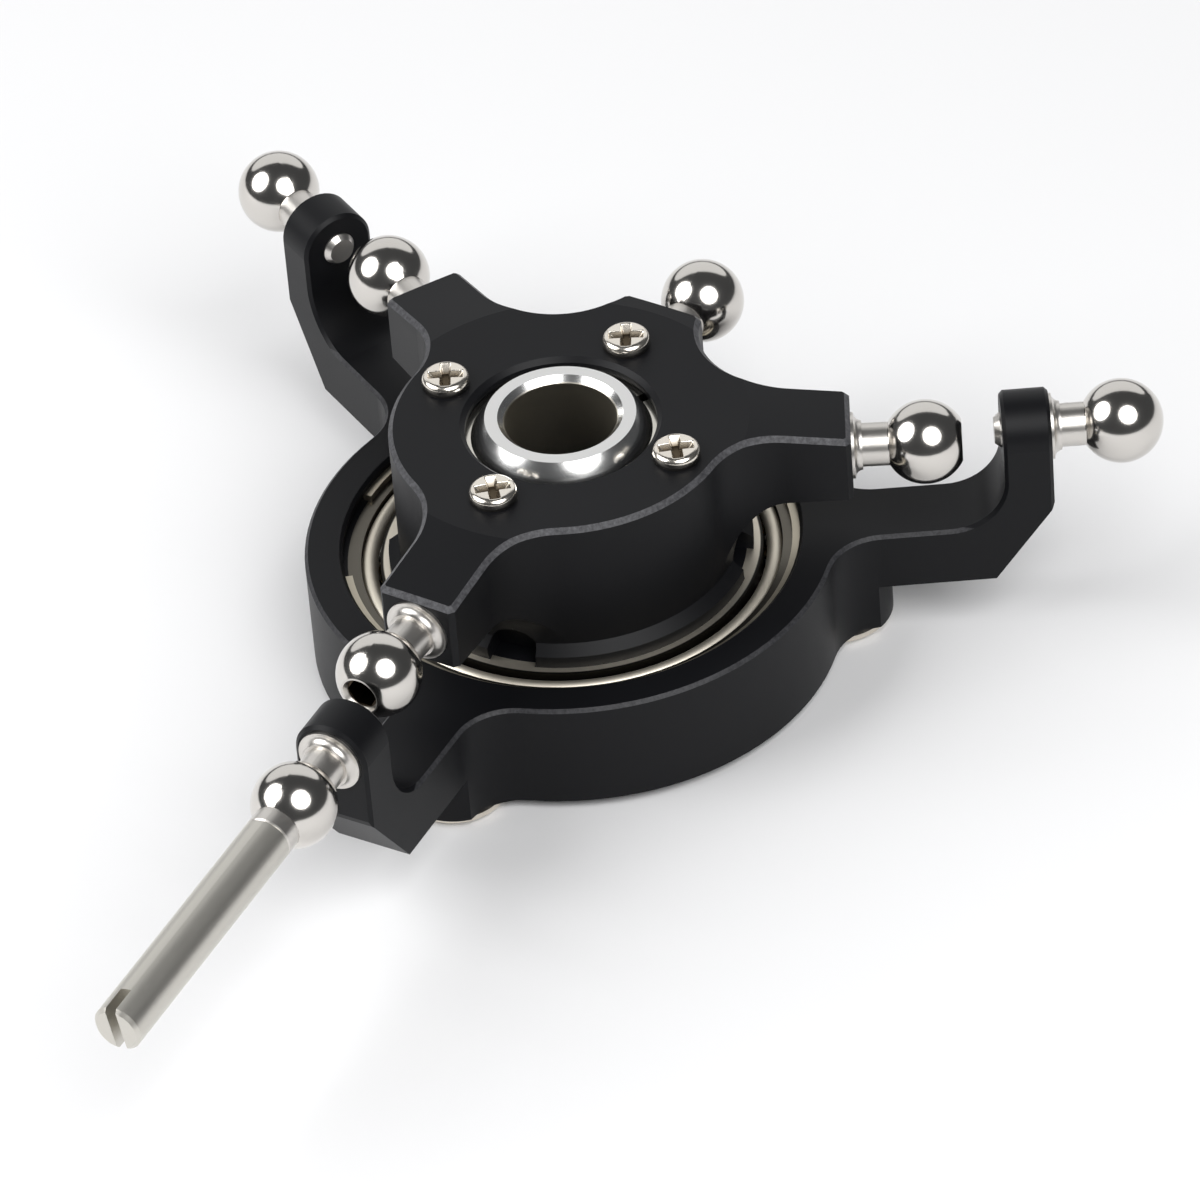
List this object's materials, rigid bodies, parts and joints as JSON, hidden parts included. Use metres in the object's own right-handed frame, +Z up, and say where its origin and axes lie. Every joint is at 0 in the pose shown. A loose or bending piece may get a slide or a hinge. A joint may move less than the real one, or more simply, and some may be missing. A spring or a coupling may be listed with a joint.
{
  "type": "helicopter swashplate",
  "caption": "Swashplate of a model helicopter: stationary and rotating stars on a thin bearing, tilting on a uniball, with linkage balls and an anti-rotation pin.",
  "frame": {"origin": "centre of the uniball, on the mast's axis", "axes": "+Z up along the mast, away from the body; -Y along the front arm of the rotating star, beside the arm that carries the anti-rotation pin; +X to the right of it"},
  "size_m": [0.0742, 0.0877, 0.0207],
  "materials": {
    "black_anodised": "satin black anodised, machined",
    "nickel_screws": "bright nickel plate",
    "polished_steel": "polished",
    "link_ball_steel": "polished ball, finely turned neck",
    "liner_metal": "bright pressed sheet",
    "bearing_steel": "ground",
    "shield_metal": "bright pressed sheet",
    "cage_brass": "pressed",
    "spring_steel": "phosphated spring steel",
    "pin_steel": "ground, lightly brushed"
  },
  "bodies": {
    "stationary": {"lower_star": "black_anodised", "bearing_spacer": "black_anodised", "retaining_screws": "nickel_screws", "snap_ring": "spring_steel", "bearing_outer_race": "bearing_steel", "bearing_shield_top": "shield_metal", "bearing_shield_bottom": "shield_metal", "lower_ball_right": "link_ball_steel", "lower_ball_left": "link_ball_steel", "anti_rotation_ball": "link_ball_steel", "anti_rotation_pin": "pin_steel"},
    "rotating": {"upper_star": "black_anodised", "inner_sleeve": "black_anodised", "hub_screws": "nickel_screws", "bearing_inner_race": "bearing_steel", "upper_ball_front": "link_ball_steel", "upper_ball_right": "link_ball_steel", "upper_ball_left": "link_ball_steel", "upper_ball_rear": "link_ball_steel"},
    "rolling": {"bearing_balls": "polished_steel", "bearing_cage": "cage_brass"},
    "cup": {"ball_cup": "liner_metal"},
    "ball": {"uniball": "polished_steel"}
  },
  "joints": [
    {"name": "swash_spin", "type": "hinge", "parent": "stationary", "child": "rotating", "pos_m": [0, 0, -0.00985], "axis": [0, 0, 1], "continuous": true},
    {"name": "cage_spin", "type": "hinge", "parent": "stationary", "child": "rolling", "pos_m": [0, 0, -0.00985], "axis": [0, 0, 1], "continuous": true},
    {"name": "tilt_x", "type": "hinge", "parent": "rotating", "child": "cup", "pos_m": [0, 0, 0], "axis": [1, 0, 0], "range_deg": [-10, 10]},
    {"name": "tilt_y", "type": "hinge", "parent": "cup", "child": "ball", "pos_m": [0, 0, 0], "axis": [0, 1, 0], "range_deg": [-10, 10]}
  ],
  "couplings": [
    {"joint": "cage_spin", "follows": "swash_spin", "ratio": 0.465}
  ]
}
